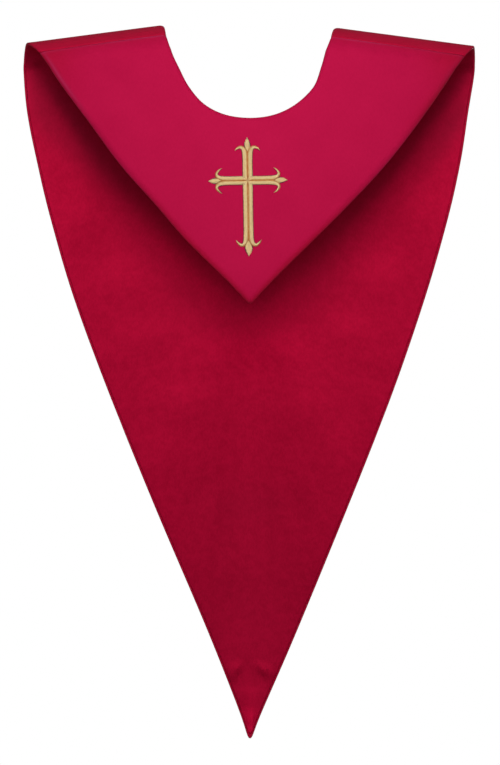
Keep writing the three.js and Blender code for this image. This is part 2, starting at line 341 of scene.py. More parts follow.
EDGE_STEPS = [0, 0.12, 0.35, 0.7, 1.25, 1.5, 1.62, 1.75, 1.9, 2.0, 2.2, 2.7, 3.6, 5, 7, 9.5, 12]
EDGE_STEPS = np.array(EDGE_STEPS) * MM
SEAM_STEPS = np.array([0, 0.05, 0.2, 0.5, 0.9, 1.4, 2.0, 2.8, 4.0, 5.4, 7.0]) * MM
SEAM_CLEAR = 1.3  # how far the first even row is from the seam, in widths of the close rows there
LEAST_STEP = 0.02 * MM
OUTWARDS = 1.6  # the columns lie closer together towards the outer edge
TIP_RADIUS = 1.3 * MM
TIP_BLEND = 10 * MM
TIP_STEPS = np.array([0.0015, 0.005, 0.011, 0.02, 0.034])  # as shares of the last row


def lay_out(rows, side, per_row, near_tip, across, inset=0.0):
    """A panel's grid of cloth places: x and s, and how far each is from the neck edge, the outer
    edge and the seam. Its rows lie close together at the edges, and start `inset` inside them."""
    ribs = band(rows, side)
    tip = len(rows)
    seam_run = abs(ribs[1, 0, 1] - ribs[0, 0, 1])
    near_seam = SEAM_STEPS / seam_run
    inner = np.arange(1, (len(ribs) - 1) * per_row) / per_row
    in_tip = np.linspace(-1, 1, 2 * near_tip + 1)[1:-1]
    inner = [inner[np.abs(inner - tip) >= 1], tip + in_tip, tip - TIP_STEPS, tip + TIP_STEPS]
    inner = np.unique(np.concatenate(inner).round(6))
    clear = near_seam[-1] * SEAM_CLEAR
    inner = inner[(inner > clear) & (inner < len(ribs) - 1 - clear)]
    t = np.concatenate([near_seam, inner, len(ribs) - 1 - near_seam[::-1]])
    neck, outer = line_at(ribs[:, 0], t), line_at(ribs[:, 1], t, corner=tip)
    corner = int(np.argmin(np.abs(t - tip)))
    from_neck, from_outer = reach_of(neck, outer), reach_of(outer, neck, corner)
    above = np.abs(outer[corner, 1]) - np.abs(outer[:, 1])
    rounded = np.sqrt(outer[:, 0] ** 2 + 2 * TIP_RADIUS * above * np.exp(-above / TIP_BLEND))
    outer[:, 0] = np.sign(outer[:, 0]) * rounded
    steps = EDGE_STEPS[EDGE_STEPS >= inset]
    steps = np.concatenate([[inset], steps[steps > inset + LEAST_STEP]])
    near = steps[None, :] / from_neck[:, None]
    far = 1 - steps[None, ::-1] / from_outer[:, None]
    middle = 1 - (1 - np.linspace(0, 1, across + 1)[1:-1][None, :]) ** OUTWARDS
    between = near[:, -1:] + (far[:, :1] - near[:, -1:]) * middle
    b = np.concatenate([near, between, far], 1)
    places = neck[:, None] + (outer - neck)[:, None] * b[..., None]
    seam_away = np.minimum(t, len(ribs) - 1 - t)[:, None] * seam_run * np.ones_like(b)
    return {
        "x": places[..., 0],
        "s": places[..., 1],
        "from_neck": b * from_neck[:, None],
        "from_outer": (1 - b) * from_outer[:, None],
        "from_seam": seam_away,
    }


def soft_dents(x, z, table):
    """Soft troughs and ridges in the cloth, from rows in mm: how deep the cloth goes inwards."""
    sunk = np.zeros_like(x)
    for row in table:
        lean = math.radians(row["lean"])
        dx, dz = x - row["x"] * MM, z - row["z"] * MM
        along = (dx * math.sin(lean) + dz * math.cos(lean)) / (row["long"] * MM)
        aside = (dx * math.cos(lean) - dz * math.sin(lean)) / (row["wide"] * MM)
        sunk += row["deep"] * MM * np.exp(-(along**2) - aside**2)
    return sunk


EDGE_ROLL = {
    FRONT: {"width": 5.5 * MM, "depth": 2.8 * MM, "starts": -45 * MM, "full": 10 * MM},
    BACK: {"width": 14 * MM, "depth": -0.7 * MM, "starts": 20 * MM, "full": 110 * MM},
}
LEAST_ROLL = 0.15  # the share of its roll that an edge has over the shoulder
TIP_HALF_ANGLE = {FRONT: math.radians(44), BACK: math.radians(22)}
NECK_ROLL = {"width": 5 * MM, "depth": 1.9 * MM}
SEAM_STEP = {
    FRONT: {"width": 2.2 * MM, "depth": 1.1 * MM},
    BACK: {"width": 1.5 * MM, "depth": 0.1 * MM},
}
SEAM_ALLOWANCE = {"from_seam": 4.2 * MM, "spread": 3 * MM}
ALLOWANCE_HEIGHT = {FRONT: 0.6 * MM, BACK: 0.15 * MM}


def cloth_face(grid, dents, side):
    """Points of the outer face, its edges rolled inwards, and its outward directions. At the seam
    the front panel lies a step lower, and its allowances make a low ridge from beneath."""
    points, normals = drape(grid["x"], grid["s"]), outward(grid["x"], grid["s"])
    edge = EDGE_ROLL[side]
    below_fold = np.abs(grid["s"]) - fold_length(grid["x"])
    share = np.clip((below_fold - edge["starts"]) / (edge["full"] - edge["starts"]), LEAST_ROLL, 1)
    nearest = grid["from_outer"]
    other = nearest + 2 * np.abs(grid["x"]) * math.cos(TIP_HALF_ANGLE[side])
    rolled = sum(np.maximum(0, 1 - away / edge["width"]) ** 2 for away in (nearest, other))
    sunk = share * edge["depth"] * rolled
    sunk += NECK_ROLL["depth"] * np.maximum(0, 1 - grid["from_neck"] / NECK_ROLL["width"]) ** 2
    sunk += SEAM_STEP[side]["depth"] * np.exp(-grid["from_seam"] / SEAM_STEP[side]["width"])
    off = grid["from_seam"] - SEAM_ALLOWANCE["from_seam"]
    sunk -= ALLOWANCE_HEIGHT[side] * fading(off, SEAM_ALLOWANCE["spread"])
    sunk += soft_dents(points[..., 0], points[..., 2], dents)
    return points - normals * sunk[..., None], normals


def round_edge(away, radius):
    """How far a rounded edge lies under the face, at a distance from the very edge."""
    return radius - np.sqrt(np.maximum(0, radius**2 - np.maximum(0, radius - away) ** 2))


SEAM_CLOSING = [1, 0.66, 0.42, 0.19, 0.05, 0]  # how far a wall has closed at its first rows


def squares(number):
    """The corners' numbers of all the squares in a grid, going round each."""
    return [number[:-1, :-1], number[:-1, 1:], number[1:, 1:], number[1:, :-1]]


def carry(mesh, name, values):
    """Gives each point of a mesh a number, or a direction."""
    kind, key = ("FLOAT_VECTOR", "vector") if values.ndim == 2 else ("FLOAT", "value")
    attribute = mesh.attributes.new(name, kind, "POINT")
    attribute.data.foreach_set(key, values.astype(np.float32).ravel())


def shell(name, grid, face, normals, top, bottom, **looks):
    """A closed wall between two depths under the face, which meet all round its edge. `looks` are
    its attributes: `turned` is how far the satin loses the face's painted sheen and looks a deeper
    red, over the whole back panel, whose satin is turned against the front panel's, and as painted
    shade on the front panel's rolled edges and beside its seams; `pressed` is a painted highlight
    along ridges that catch the light; and `deepened` is painted shade where it is positive and
    painted light where it is negative."""
    ends = np.interp(grid["from_seam"], SEAM_STEPS[: len(SEAM_CLOSING)], SEAM_CLOSING)
    middle = (top + bottom) / 2
    layers = [
        face - normals * (depth + (middle - depth) * ends)[..., None] for depth in (top, bottom)
    ]
    columns, rows = grid["x"].shape
    number = np.arange(columns * rows).reshape(columns, rows)
    rim = np.ones((columns, rows), bool)
    rim[1:-1, 1:-1] = False
    under = number + columns * rows
    under[rim] = number[rim]
    over_faces = np.stack(squares(number), -1).reshape(-1, 4)
    under_faces = np.stack(squares(under)[::-1], -1).reshape(-1, 4)
    used = np.unique(np.concatenate([over_faces, under_faces]))
    renumber = np.zeros(2 * columns * rows, int)
    renumber[used] = np.arange(len(used))
    points = np.concatenate([layer.reshape(-1, 3) for layer in layers])[used]
    faces = renumber[np.concatenate([over_faces, under_faces])]
    mesh = bpy.data.meshes.new(name)
    mesh.from_pydata(points.tolist(), [], faces.tolist())
    flat_place = np.stack([grid["x"], grid["s"]], -1).reshape(-1, 2)
    flat_place = np.concatenate([flat_place, flat_place])[used]
    for key, value in looks.items():
        carry(mesh, key, np.tile(np.broadcast_to(value, (columns, rows)).ravel(), 2)[used])
    uv = mesh.uv_layers.new(name="cloth")
    corners = np.zeros(len(mesh.loops), int)
    mesh.loops.foreach_get("vertex_index", corners)
    uv.data.foreach_set("uv", flat_place[corners].astype(np.float32).ravel())
    mesh.shade_smooth()
    mesh.update()
    return put(name, mesh)


def table_of(names, rows):
    """Rows of numbers, each under the same names."""
    return [dict(zip(names.split(), row)) for row in rows]


FRONT_ROWS = table_of(
    "neck_left neck_right neck_z left right z",
    [
        (78.0, 75.0, -25, 192.5, 198.6, -52),
        (70.0, 70.0, -43, 160.3, 168.1, -96),
        (60.0, 62.5, -62, 128.6, 134.6, -139),
        (45.0, 45.0, -79, 93.8, 98.1, -178.5),
        (24.5, 24.0, -89.3, 59.2, 58.5, -218),
        (0, 0, -92.6, 0, 0, -277),
    ],
)
FRONT_DENTS = table_of(
    "x z long wide lean deep",
    [
        (-118, -72, 34, 12, -38, 0.7),
        (-66, -112, 26, 10, -30, 0.5),
        (112, -70, 32, 13, 36, 0.7),
        (74, -120, 24, 11, 28, 0.45),
        (-150, -44, 22, 9, -60, 0.5),
        (156, -50, 24, 10, 58, 0.5),
        (-36, -205, 20, 9, 24, 0.35),
        (38, -196, 22, 10, -20, 0.35),
        (-98, -20, 8, 3.5, 12, 0.35),
        (-121, -24, 9, 3, -18, 0.3),
        (-147, -26, 6, 3, 8, 0.25),
        (-176, -30, 8, 3.5, -25, 0.3),
        (95, -22, 9, 3.5, -10, 0.35),
        (126, -25, 7, 3, 16, 0.3),
        (158, -29, 8, 3, 4, 0.25),
        (189, -34, 6, 3.5, 24, 0.3),
    ],
)

front_grid = lay_out(FRONT_ROWS, FRONT, per_row=15, near_tip=22, across=58)
front_face, front_normals = cloth_face(front_grid, FRONT_DENTS, FRONT)
front_away = np.minimum(front_grid["from_neck"], front_grid["from_outer"])
front_top = round_edge(front_away, CLOTH_DEPTH / 2)
from_outer, from_seam = front_grid["from_outer"], front_grid["from_seam"]
front_x, front_z = front_grid["x"], front_face[..., 2]

# A painted sheen, lighter and lilac, over the seams' allowances and down the upper edges, stronger
# on the left edge: a painted highlight where these ridges catch the light.
SHINE = {"from_edge": 3.4 * MM, "on_seam": 1.7 * MM, "on_edge": 1.2 * MM}
SEAM_SHINE = {"x": 105 * MM, "reach": 34 * MM, "least": 0.3}
EDGE_SHINE = {"z": -52 * MM, "reach": 26 * MM, "left": 0.75, "right": 0.15}
seam_shine = fading(from_seam - SHINE["from_edge"], SHINE["on_seam"])
beside_neck = fading(np.abs(front_x) - SEAM_SHINE["x"], SEAM_SHINE["reach"])
seam_shine *= SEAM_SHINE["least"] + (1 - SEAM_SHINE["least"]) * beside_neck
edge_shine = fading(from_outer - SHINE["from_edge"], SHINE["on_edge"])
edge_shine *= fading(front_z - EDGE_SHINE["z"], EDGE_SHINE["reach"])
edge_shine *= np.where(front_x < 0, EDGE_SHINE["left"], EDGE_SHINE["right"])

# Painted shade: the satin is made a deeper red on the rolls of its edges, beside the seams and at
# their outer corners, where they turn from the light, and high up on the right edge only.
LOW_ROLL = {"width": 4.2 * MM, "starts": -145 * MM, "full": -215 * MM}
HIGH_ROLL = {"width": 6.5 * MM, "z": -64 * MM, "reach": 34 * MM, "deepened": 0.12}
NEAR_SEAM = {"width": 9 * MM, "share": 0.5, "deepened": 0.14}
CORNER = {"x": 206 * MM, "reach": 34 * MM, "width": 32 * MM, "share": 0.95}
low_roll = (LOW_ROLL["starts"] - front_z) / (LOW_ROLL["starts"] - LOW_ROLL["full"])
low_roll = fading(from_outer, LOW_ROLL["width"]) * np.clip(low_roll, 0, 1)
high_roll = fading(from_outer, HIGH_ROLL["width"]) * (front_x > 0)
high_roll *= fading(front_z - HIGH_ROLL["z"], HIGH_ROLL["reach"])
corner = fading(np.abs(front_x) - CORNER["x"], CORNER["reach"])
corner *= CORNER["share"] * fading(from_seam, CORNER["width"])
near_seam = np.maximum(NEAR_SEAM["share"] * fading(from_seam, NEAR_SEAM["width"]), corner)
front_panel = shell(
    "satin_front_panel",
    front_grid,
    front_face,
    front_normals,
    front_top,
    CLOTH_DEPTH - front_top,
    turned=np.maximum(np.maximum(low_roll, high_roll), near_seam),
    pressed=seam_shine + edge_shine,
    deepened=NEAR_SEAM["deepened"] * near_seam + HIGH_ROLL["deepened"] * high_roll,
)

FLOAT_SCALE = (2600, 420, 1)  # threads, across and along the cloth
SLUB_SCALE = (520, 260, 1)
CLOUD_SCALE = 24.0
PATCH_SCALE = 115.0
# Colours painted over the satin: a tint for the turned and shaded parts, a near black for painted
# shade and painted light, and a lilac for the painted sheen.
TURNED_AND_SHADED_TINT = (0.97, 0.86, 0.66, 1)
SHADE_PAINT_COLOUR = (0.06, 0.004, 0.011, 1)
SHEEN_PAINT_COLOUR = (0.50, 0.032, 0.125, 1)


def carried(tree, name):
    """A number that a piece's mesh carries at its points."""
    return add_node(tree, "ShaderNodeAttribute", {"attribute_name": name}, {}, output=2)


def noise(tree, place, scale, detail):
    """Soft noise about a mean of a half."""
    sockets = {"Vector": place, "Scale": scale, "Detail": detail}
    return add_node(tree, "ShaderNodeTexNoise", {}, sockets)


def mix_colours(tree, share, first, second, **settings):
    """The colour that lies a share of the way from the first to the second."""
    settings = {"data_type": "RGBA", "clamp_factor": True, **settings}
    return add_node(tree, "ShaderNodeMix", settings, {0: share, 6: first, 7: second}, output=2)


def satin(name, shade, lit, gloss, rough, grain=0.05, mottle=1.0, patchy=0.0):
    """Polyester satin: long warp floats that run along the cloth, over a slightly clouded shade."""
    material, tree, shader = new_material(name)
    cloth = add_node(tree, "ShaderNodeUVMap", {"uv_map": "cloth"}, {})
    floats = add_node(tree, "ShaderNodeMapping", {}, {"Vector": cloth, "Scale": FLOAT_SCALE})
    fine = noise(tree, floats, 1.0, 2.0)
    slub_place = add_node(tree, "ShaderNodeMapping", {}, {"Vector": cloth, "Scale": SLUB_SCALE})
    slubs = noise(tree, slub_place, 1.0, 3.0)
    clouds = noise(tree, cloth, CLOUD_SCALE, 3.0)
    tone = 0.5 + (fine - 0.5) * 0.5 * mottle + (slubs - 0.5) * 0.7 * mottle + (clouds - 0.5) * 0.8
    if patchy:
        tone = tone + (noise(tree, cloth, PATCH_SCALE, 2.0) - 0.5) * patchy
    colour = mix_colours(tree, tone, (*shade, 1), (*lit, 1))
    # Painted shade: turned and shaded parts lose the face's painted sheen and take a deeper red.
    colour = mix_colours(tree, carried(tree, "turned"), colour, TURNED_AND_SHADED_TINT, blend_type="MULTIPLY")
    # Painted shade darkens the satin towards a near black, and painted light lightens it where the
    # share is negative.
    colour = mix_colours(tree, carried(tree, "deepened"), colour, SHADE_PAINT_COLOUR, clamp_factor=False)
    # A painted highlight: the painted sheen lightens the satin towards a lilac along ridges.
    shine = carried(tree, "pressed") * (0.35 + clouds * 0.8)
    colour = mix_colours(tree, shine, colour, SHEEN_PAINT_COLOUR)
    tree.links.new(colour.socket, shader.inputs["Base Color"])
    roughness = rough + (slubs - 0.5) * 0.14
    tree.links.new(roughness.socket, shader.inputs["Roughness"])
    relief = {"Strength": grain, "Distance": 0.6 * MM, "Height": fine * 0.5 + slubs}
    bump = add_node(tree, "ShaderNodeBump", {}, relief)
    tree.links.new(bump.socket, shader.inputs["Normal"])
    shader.inputs["Metallic"].default_value = gloss
    shader.inputs["Specular IOR Level"].default_value = 0.12
    shader.inputs["Specular Tint"].default_value = (1.0, 0.12, 0.35, 1)
    return material


# The face's crimson is bluer and lighter than the lining's red: the same satin with a painted
# sheen, as it shows towards the light.
face_satin = satin(
    "crimson_satin",
    shade=(0.462, 0.0045, 0.050),
    lit=(0.543, 0.0075, 0.064),
    gloss=0.05,
    rough=0.58,
    mottle=1.5,
)
front_panel.data.materials.append(face_satin)
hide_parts("front_panel")
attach(front_panel, "root")

# ---- Back panel ----------------------------------------------------------------------------------
# The long pointed panel: the same satin on interfacing. It runs from the shoulder seams over the
# crest of the shoulders and down the back, and its edge is turned round onto the inside.

FOLD_ROWS = table_of(
    "turn neck_left neck_right left right",
    [
        (-26, 85.0, 82.5, 219.2, 222.0),
        (0, 86.0, 84.0, 223.7, 224.5),
        (30, 86.5, 84.5, 226.2, 226.0),
        (60, 86.5, 84.0, 227.9, 226.7),
        (90, 85.0, 82.5, 228.3, 226.0),
    ],
)
BACK_ROWS = table_of(
    "neck_left neck_right neck_z left right z",
    [
        (81.0, 79.0, -36, 224.8, 220.1, -82),
        (76.0, 76.0, -46, 215.3, 212.8, -130),
        (70.5, 71.5, -56, 201.1, 199.5, -190),
        (62.0, 63.0, -68, 177.6, 176.5, -270),
        (51.5, 51.5, -77.5, 140.4, 141.9, -371),
        (37.0, 37.0, -84.5, 91.0, 94.0, -493),
        (19.5, 19.5, -88, 39.3, 43.8, -615),
        (0, 0, -89.5, 0, 0, -714.5),
    ],
)
BACK_DENTS = table_of(
    "x z long wide lean deep",
    [
        (-173, -192, 26, 24, 12, 1.1),
        (170, -189, 27, 22, -14, 1.0),
        (-126, -256, 19, 30, 24, 1.2),
        (121, -252, 20, 28, -22, 1.1),
        (-104, -312, 18, 26, -10, 0.9),
        (98, -306, 17, 24, 12, 0.8),
        (-22, -326, 15, 26, -8, 0.9),
        (30, -322, 15, 22, 10, 0.8),
        (-64, -376, 17, 24, 18, 1.1),
        (58, -383, 16, 22, -20, 0.9),
        (-90, -430, 20, 18, 14, 0.9),
        (84, -424, 21, 17, -16, 0.8),
        (-145, -329, 5, 20, 8, 0.6),
        (130, -333, 5, 18, -6, 0.5),
        (-50, -470, 30, 12, 20, -0.8),
        (47, -476, 30, 12, -22, -0.7),
        (-21, -548, 34, 12, 36, 0.25),
        (-17, -647, 4.2, 9, -38, 1.7),
        (15, -646, 4.2, 9, 38, 1.5),
        (-1, -672, 10, 15, 6, 0.9),
        (2, -694, 6, 5, -8, 0.8),
        (-3.5, -704, 9, 2.2, -12, -0.3),
        (3.8, -700, 10, 2.2, 14, -0.3),
        (0, -745, 40, 60, 0, 13),
        (-136, -396, 26, 7, 20, 0.8),
        (135, -402, 28, 7, -20, 0.8),
        (-104, -6, 16, 2, 83, -0.35),
        (-142, -9, 20, 2.2, 81, -0.3),
        (-186, -14, 14, 2, 80, -0.25),
        (101, -7, 18, 2, -83, -0.3),
        (150, -11, 22, 2.2, -81, -0.35),
        (194, -17, 12, 2, -79, -0.25),
    ],
)


TURNED_IN = {"width": 1.78 * MM, "blend": 0.16 * MM}  # the face's edge, turned onto the inside


def turned_over(grid):
    """The grid walked the other way, so that a back panel's faces turn away from the hollow."""
    return {name: values[::-1] for name, values in grid.items()}


back_grid = turned_over(lay_out([*FOLD_ROWS, *BACK_ROWS], BACK, per_row=11, near_tip=36, across=78))
back_face, back_normals = cloth_face(back_grid, BACK_DENTS, BACK)
back_away = np.minimum(back_grid["from_neck"], back_grid["from_outer"])
back_top = round_edge(back_away, CLOTH_DEPTH / 2)
turned_share = np.clip((TURNED_IN["width"] - back_away) / TURNED_IN["blend"], 0, 1)
back_bottom = LAYER + (CLOTH_DEPTH - back_top - LAYER) * turned_share
# The whole back panel is turned and shaded: it loses the face's painted sheen and looks a deeper
# red.
back_panel = shell(
    "satin_back_panel", back_grid, back_face, back_normals, back_top, back_bottom, turned=1.0
)
back_panel.data.materials.append(face_satin)
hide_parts("back_panel")
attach(back_panel, "root")

# ---- Back lining ---------------------------------------------------------------------------------
# The inside of the back panel: the face's satin in its deeper red, without the face's painted
# sheen, cut like the face and sewn to it just inside the turned edge, which leaves a fine groove
# all round.

LINING_INSET = 1.9 * MM
lining_grid = turned_over(
    lay_out([*FOLD_ROWS, *BACK_ROWS], BACK, per_row=11, near_tip=36, across=78, inset=LINING_INSET)
)
lining_face, lining_normals = cloth_face(lining_grid, BACK_DENTS, BACK)
lining_away = np.minimum(lining_grid["from_neck"], lining_grid["from_outer"]) - LINING_INSET
lining_round = round_edge(np.maximum(0, lining_away), LAYER / 2)
# Painted shade and painted light on the lining, in soft places like its dents: `deep` is the share
# by which its red is darkened, as painted shade in the hollows beside the front panel's upper edges
# and towards the lower back, and lightened where it is negative, as painted light along the front
# panel's lower edges, below its point and at the back's point.
PAINTED_SHADE_ON_LINING = table_of(
    "x z long wide lean deep",
    [
        (-184, -79, 64, 10, -37, 0.38),
        (-143, -140, 105, 16, -53, 0.24),
        (-215, -66, 36, 14, -22, 0.25),
        (105, -179, 76, 8, 44, 0.2),
        (208, -91, 55, 13, 35, 0.32),
        (188, -80, 90, 8, 38, 0.25),
        (-80, -222, 44, 9, -44, -0.17),
        (-38, -262, 30, 14, -45, -0.18),
        (34, -268, 26, 12, 45, -0.14),
        (4, -312, 34, 44, 0, -0.24),
        (0, -476, 22, 44, 0, 0.09),
        (0, -570, 95, 70, 0, 0.09),
        (0, -704, 20, 9, 0, -0.24),
    ],
)
# Painted shade and painted light on the lining, from the soft places above.
lining_shade = soft_dents(lining_face[..., 0], lining_face[..., 2], PAINTED_SHADE_ON_LINING) / MM
back_lining = shell(
    "satin_back_lining",
    lining_grid,
    lining_face,
    lining_normals,
    CLOTH_DEPTH - LAYER + lining_round,
    CLOTH_DEPTH - lining_round,
    deepened=lining_shade,
)
lining_satin = satin(
    "deep_red_satin",
    shade=(0.362, 0.0017, 0.0238),
    lit=(0.45, 0.0030, 0.0325),
    gloss=0.24,
    rough=0.45,
    grain=0.08,
    mottle=3.2,
    patchy=1.5,
)
back_lining.data.materials.append(lining_satin)
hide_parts("back_lining")
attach(back_lining, "root")

# ---- Embroidered cross ---------------------------------------------------------------------------
# Machine embroidery in gold rayon: two rows of raised satin stitch in each beam, which turn
# outwards at its ends and curl back as barbs, with a pointed leaf between them.

CROSS = {"x": -2.2 * MM, "z": -155.1 * MM, "lean": math.radians(0.9), "height": 1.5 * MM}
# In millimetres, from the crossing outwards:
BARB = {"turn_in": 12, "bend": 5, "side": 12.4, "point": 0.12}
UPRIGHT = {"half": 4.7, "out": ("head", "foot")}
BEAM = {"half": 4.1, "out": ("left", "right")}
ARMS = {
    "head": {"u": 0, "v": 1, "curl": 33.4, "back": 3.8, "tip": 42.6, "leaf_half": 2.8},
    "foot": {"u": 0, "v": -1, "curl": 64.1, "back": 5.6, "tip": 74.5, "leaf_half": 3.6},
    "left": {"u": -1, "v": 0, "curl": 31.2, "back": 5.8, "tip": 38.9, "leaf_half": 2.7},
    "right": {"u": 1, "v": 0, "curl": 31.2, "back": 5.8, "tip": 39.0, "leaf_half": 2.7},
}


def on_cross(u, v, height):
    """A point of the embroidery: u across and v up from the crossing, and over the cloth."""
    x = CROSS["x"] + u * math.cos(CROSS["lean"]) - v * math.sin(CROSS["lean"])
    z = CROSS["z"] + u * math.sin(CROSS["lean"]) + v * math.cos(CROSS["lean"])
    s = at_height(x, z, FRONT)
    normal = outward(x, s)
    sunk = soft_dents(x, z, FRONT_DENTS)
    return drape(x, s) + normal * (height - sunk)[..., None], normal


def smooth_path(points, per_span):
    """A centripetal path through points of any number of coordinates."""
    points = np.array(points, float)
    points = np.concatenate([2 * points[:1] - points[1:2], points, 2 * points[-1:] - points[-2:-1]])
    path = []
    for k in range(1, len(points) - 2):
        p = points[k - 1 : k + 3]
        gaps = np.linalg.norm(np.diff(p, axis=0), axis=1)
        knots = np.concatenate([[0], np.cumsum(gaps**0.5)])
        t = np.linspace(knots[1], knots[2], per_span, endpoint=False)[:, None]
        level = list(p)
        for depth in (1, 2, 3):
            ends = [(knots[i], knots[i + depth]) for i in range(len(level) - 1)]
            if depth == 3:
                ends = [(knots[1], knots[2])]
            level = [
                ((end - t) * level[i] + (t - start) * level[i + 1]) / (end - start)
                for i, (start, end) in enumerate(ends)
            ]
        path.append(level[0])
    return np.concatenate([*path, points[-2:-1]])


def arm_row(arm, half, other_half):
    """One row of stitches, from its mitre at the crossing to the point of its barb: distance out,
    distance aside, half width."""
    wide = half / 2 + 0.1
    return [
        (0.15, 0.08, 0.08),
        (0.5 * other_half, half / 4, half / 4),
        (other_half - 0.3, half / 2 - 0.15, half / 2 - 0.1),
        (other_half + 0.8, half / 2, wide),
        (other_half + 5, half / 2, wide),
        (arm["curl"] - BARB["turn_in"], half / 2, wide),
        (arm["curl"] - BARB["bend"], half / 2 + 0.5, wide),
        (arm["curl"] - 1.6, half / 2 + 2.2, 0.78 * wide),
        (arm["curl"] - 0.6, half / 2 + 4.9, 0.55 * wide),
        (arm["curl"] - 0.5 * arm["back"], BARB["side"] - 2.1, 0.38 * wide),
        (arm["curl"] - arm["back"], BARB["side"], BARB["point"]),
    ]


def laid_row(arm, hand, half, other_half):
    """A row on the cloth, one of an arm's two: u, v, half width."""
    across = (hand * abs(arm["v"]), hand * abs(arm["u"]))
    steps = [
        (arm["u"] * along + across[0] * aside, arm["v"] * along + across[1] * aside, wide)
        for along, aside, wide in arm_row(arm, half, other_half)
    ]
    return smooth_path(steps, 10)


LEAF_ROOT = 4.5  # how far in from the curl it starts
LEAF_WIDTHS = (0.12, 0.7, 1, 0.9, 0.52, 0.03)  # as shares, from its root to its tip


def leaf_line(arm):
    """The leaf, from its root between the barbs to its tip."""
    steps = np.linspace(arm["curl"] - LEAF_ROOT, arm["tip"], len(LEAF_WIDTHS))
    leaf = [
        (arm["u"] * along, arm["v"] * along, arm["leaf_half"] * share)
        for along, share in zip(steps, LEAF_WIDTHS)
    ]
    return smooth_path(leaf, 8)


def guide_mesh(name, lines):
    """Open lines as a mesh of edges that carries each point's facts as attributes."""
    points = np.concatenate([line["points"] for line in lines])
    edges, start = [], 0
    for line in lines:
        count = len(line["points"])
        edges += [(start + k, start + k + 1) for k in range(count - 1)]
        start += count
    mesh = bpy.data.meshes.new(name)
    mesh.from_pydata(points.tolist(), edges, [])
    for key in lines[0]:
        if key != "points":
            carry(mesh, key, np.concatenate([line[key] for line in lines]))
    return put(name, mesh)


MITRE = {"full": 1.35, "reach": 5.2}  # where the four rows of the crossing meet


def stitched_lines():
    """Every row of the cross as a line on the cloth, with its outward way, width and hand."""
    rows = []
    for beam, other in ((UPRIGHT, BEAM), (BEAM, UPRIGHT)):
        for arm in (ARMS[name] for name in beam["out"]):
            for hand in (LEFT, RIGHT):
                inward = hand * (arm["v"] - arm["u"])
                rows.append((laid_row(arm, hand, beam["half"], other["half"]), inward, 1.0))
    rows += [(leaf_line(arm), 1, 0.0) for arm in ARMS.values()]
    lines = []
    for path, hand, grooved in rows:
        points, normals = on_cross(path[:, 0] * MM, path[:, 1] * MM, np.zeros(len(path)))
        out = np.hypot(path[:, 0], path[:, 1])
        lines.append(
            {
                "points": points,
                "cloth_out": normals,
                "half_width": path[:, 2] * MM,
                "hand": np.full(len(path), float(hand)),
                "grooved": np.full(len(path), grooved),
                "mitred": grooved * np.clip(MITRE["full"] - out / MITRE["reach"], 0, 1),
            }
        )
    return lines


def field(tree, kind, name):
    """An attribute that a guide's points carry."""
    return add_node(tree, "GeometryNodeInputNamedAttribute", {"data_type": kind}, {"Name": name})


def vector_maths(tree, operation, *values):
    """A Vector Math node."""
    return add_node(tree, "ShaderNodeVectorMath", {"operation": operation}, dict(enumerate(values)))


def scaled(tree, vector, factor):
    """A vector made longer or shorter."""
    sockets = {0: vector, "Scale": factor}
    return add_node(tree, "ShaderNodeVectorMath", {"operation": "SCALE"}, sockets)


def group_input(tree, sockets):
    """The group's named inputs, with their defaults, as wires by name."""
    tree.interface.new_socket("Geometry", in_out="INPUT", socket_type="NodeSocketGeometry")
    for name, (kind, value) in sockets.items():
        socket = tree.interface.new_socket(name, in_out="INPUT", socket_type=kind)
        if value is not None:
            socket.default_value = value
    tree.interface.new_socket("Geometry", in_out="OUTPUT", socket_type="NodeSocketGeometry")
    node = tree.nodes.new("NodeGroupInput")
    return {socket.name: Wire(tree, socket) for socket in node.outputs if socket.name}


def finish_group(tree, geometry, material):
    """Realizes the instances, gives them their material and ends the group."""
    real = add_node(tree, "GeometryNodeRealizeInstances", {}, {"Geometry": geometry})
    smooth = add_node(tree, "GeometryNodeSetShadeSmooth", {}, {"Geometry": real})
    done = add_node(tree, "GeometryNodeSetMaterial", {}, {"Geometry": smooth, "Material": material})
    end = tree.nodes.new("NodeGroupOutput")
    tree.links.new(done.socket, end.inputs[0])


NOMINAL_HALF = 2.4 * MM  # half the width of a full row of stitches
NARROW_RISE = 0.35  # a narrow row isn't as high: this share of it, and all of it at 0.65 mm
ROW_CROWN = 2.4  # how square a row's cross-section is


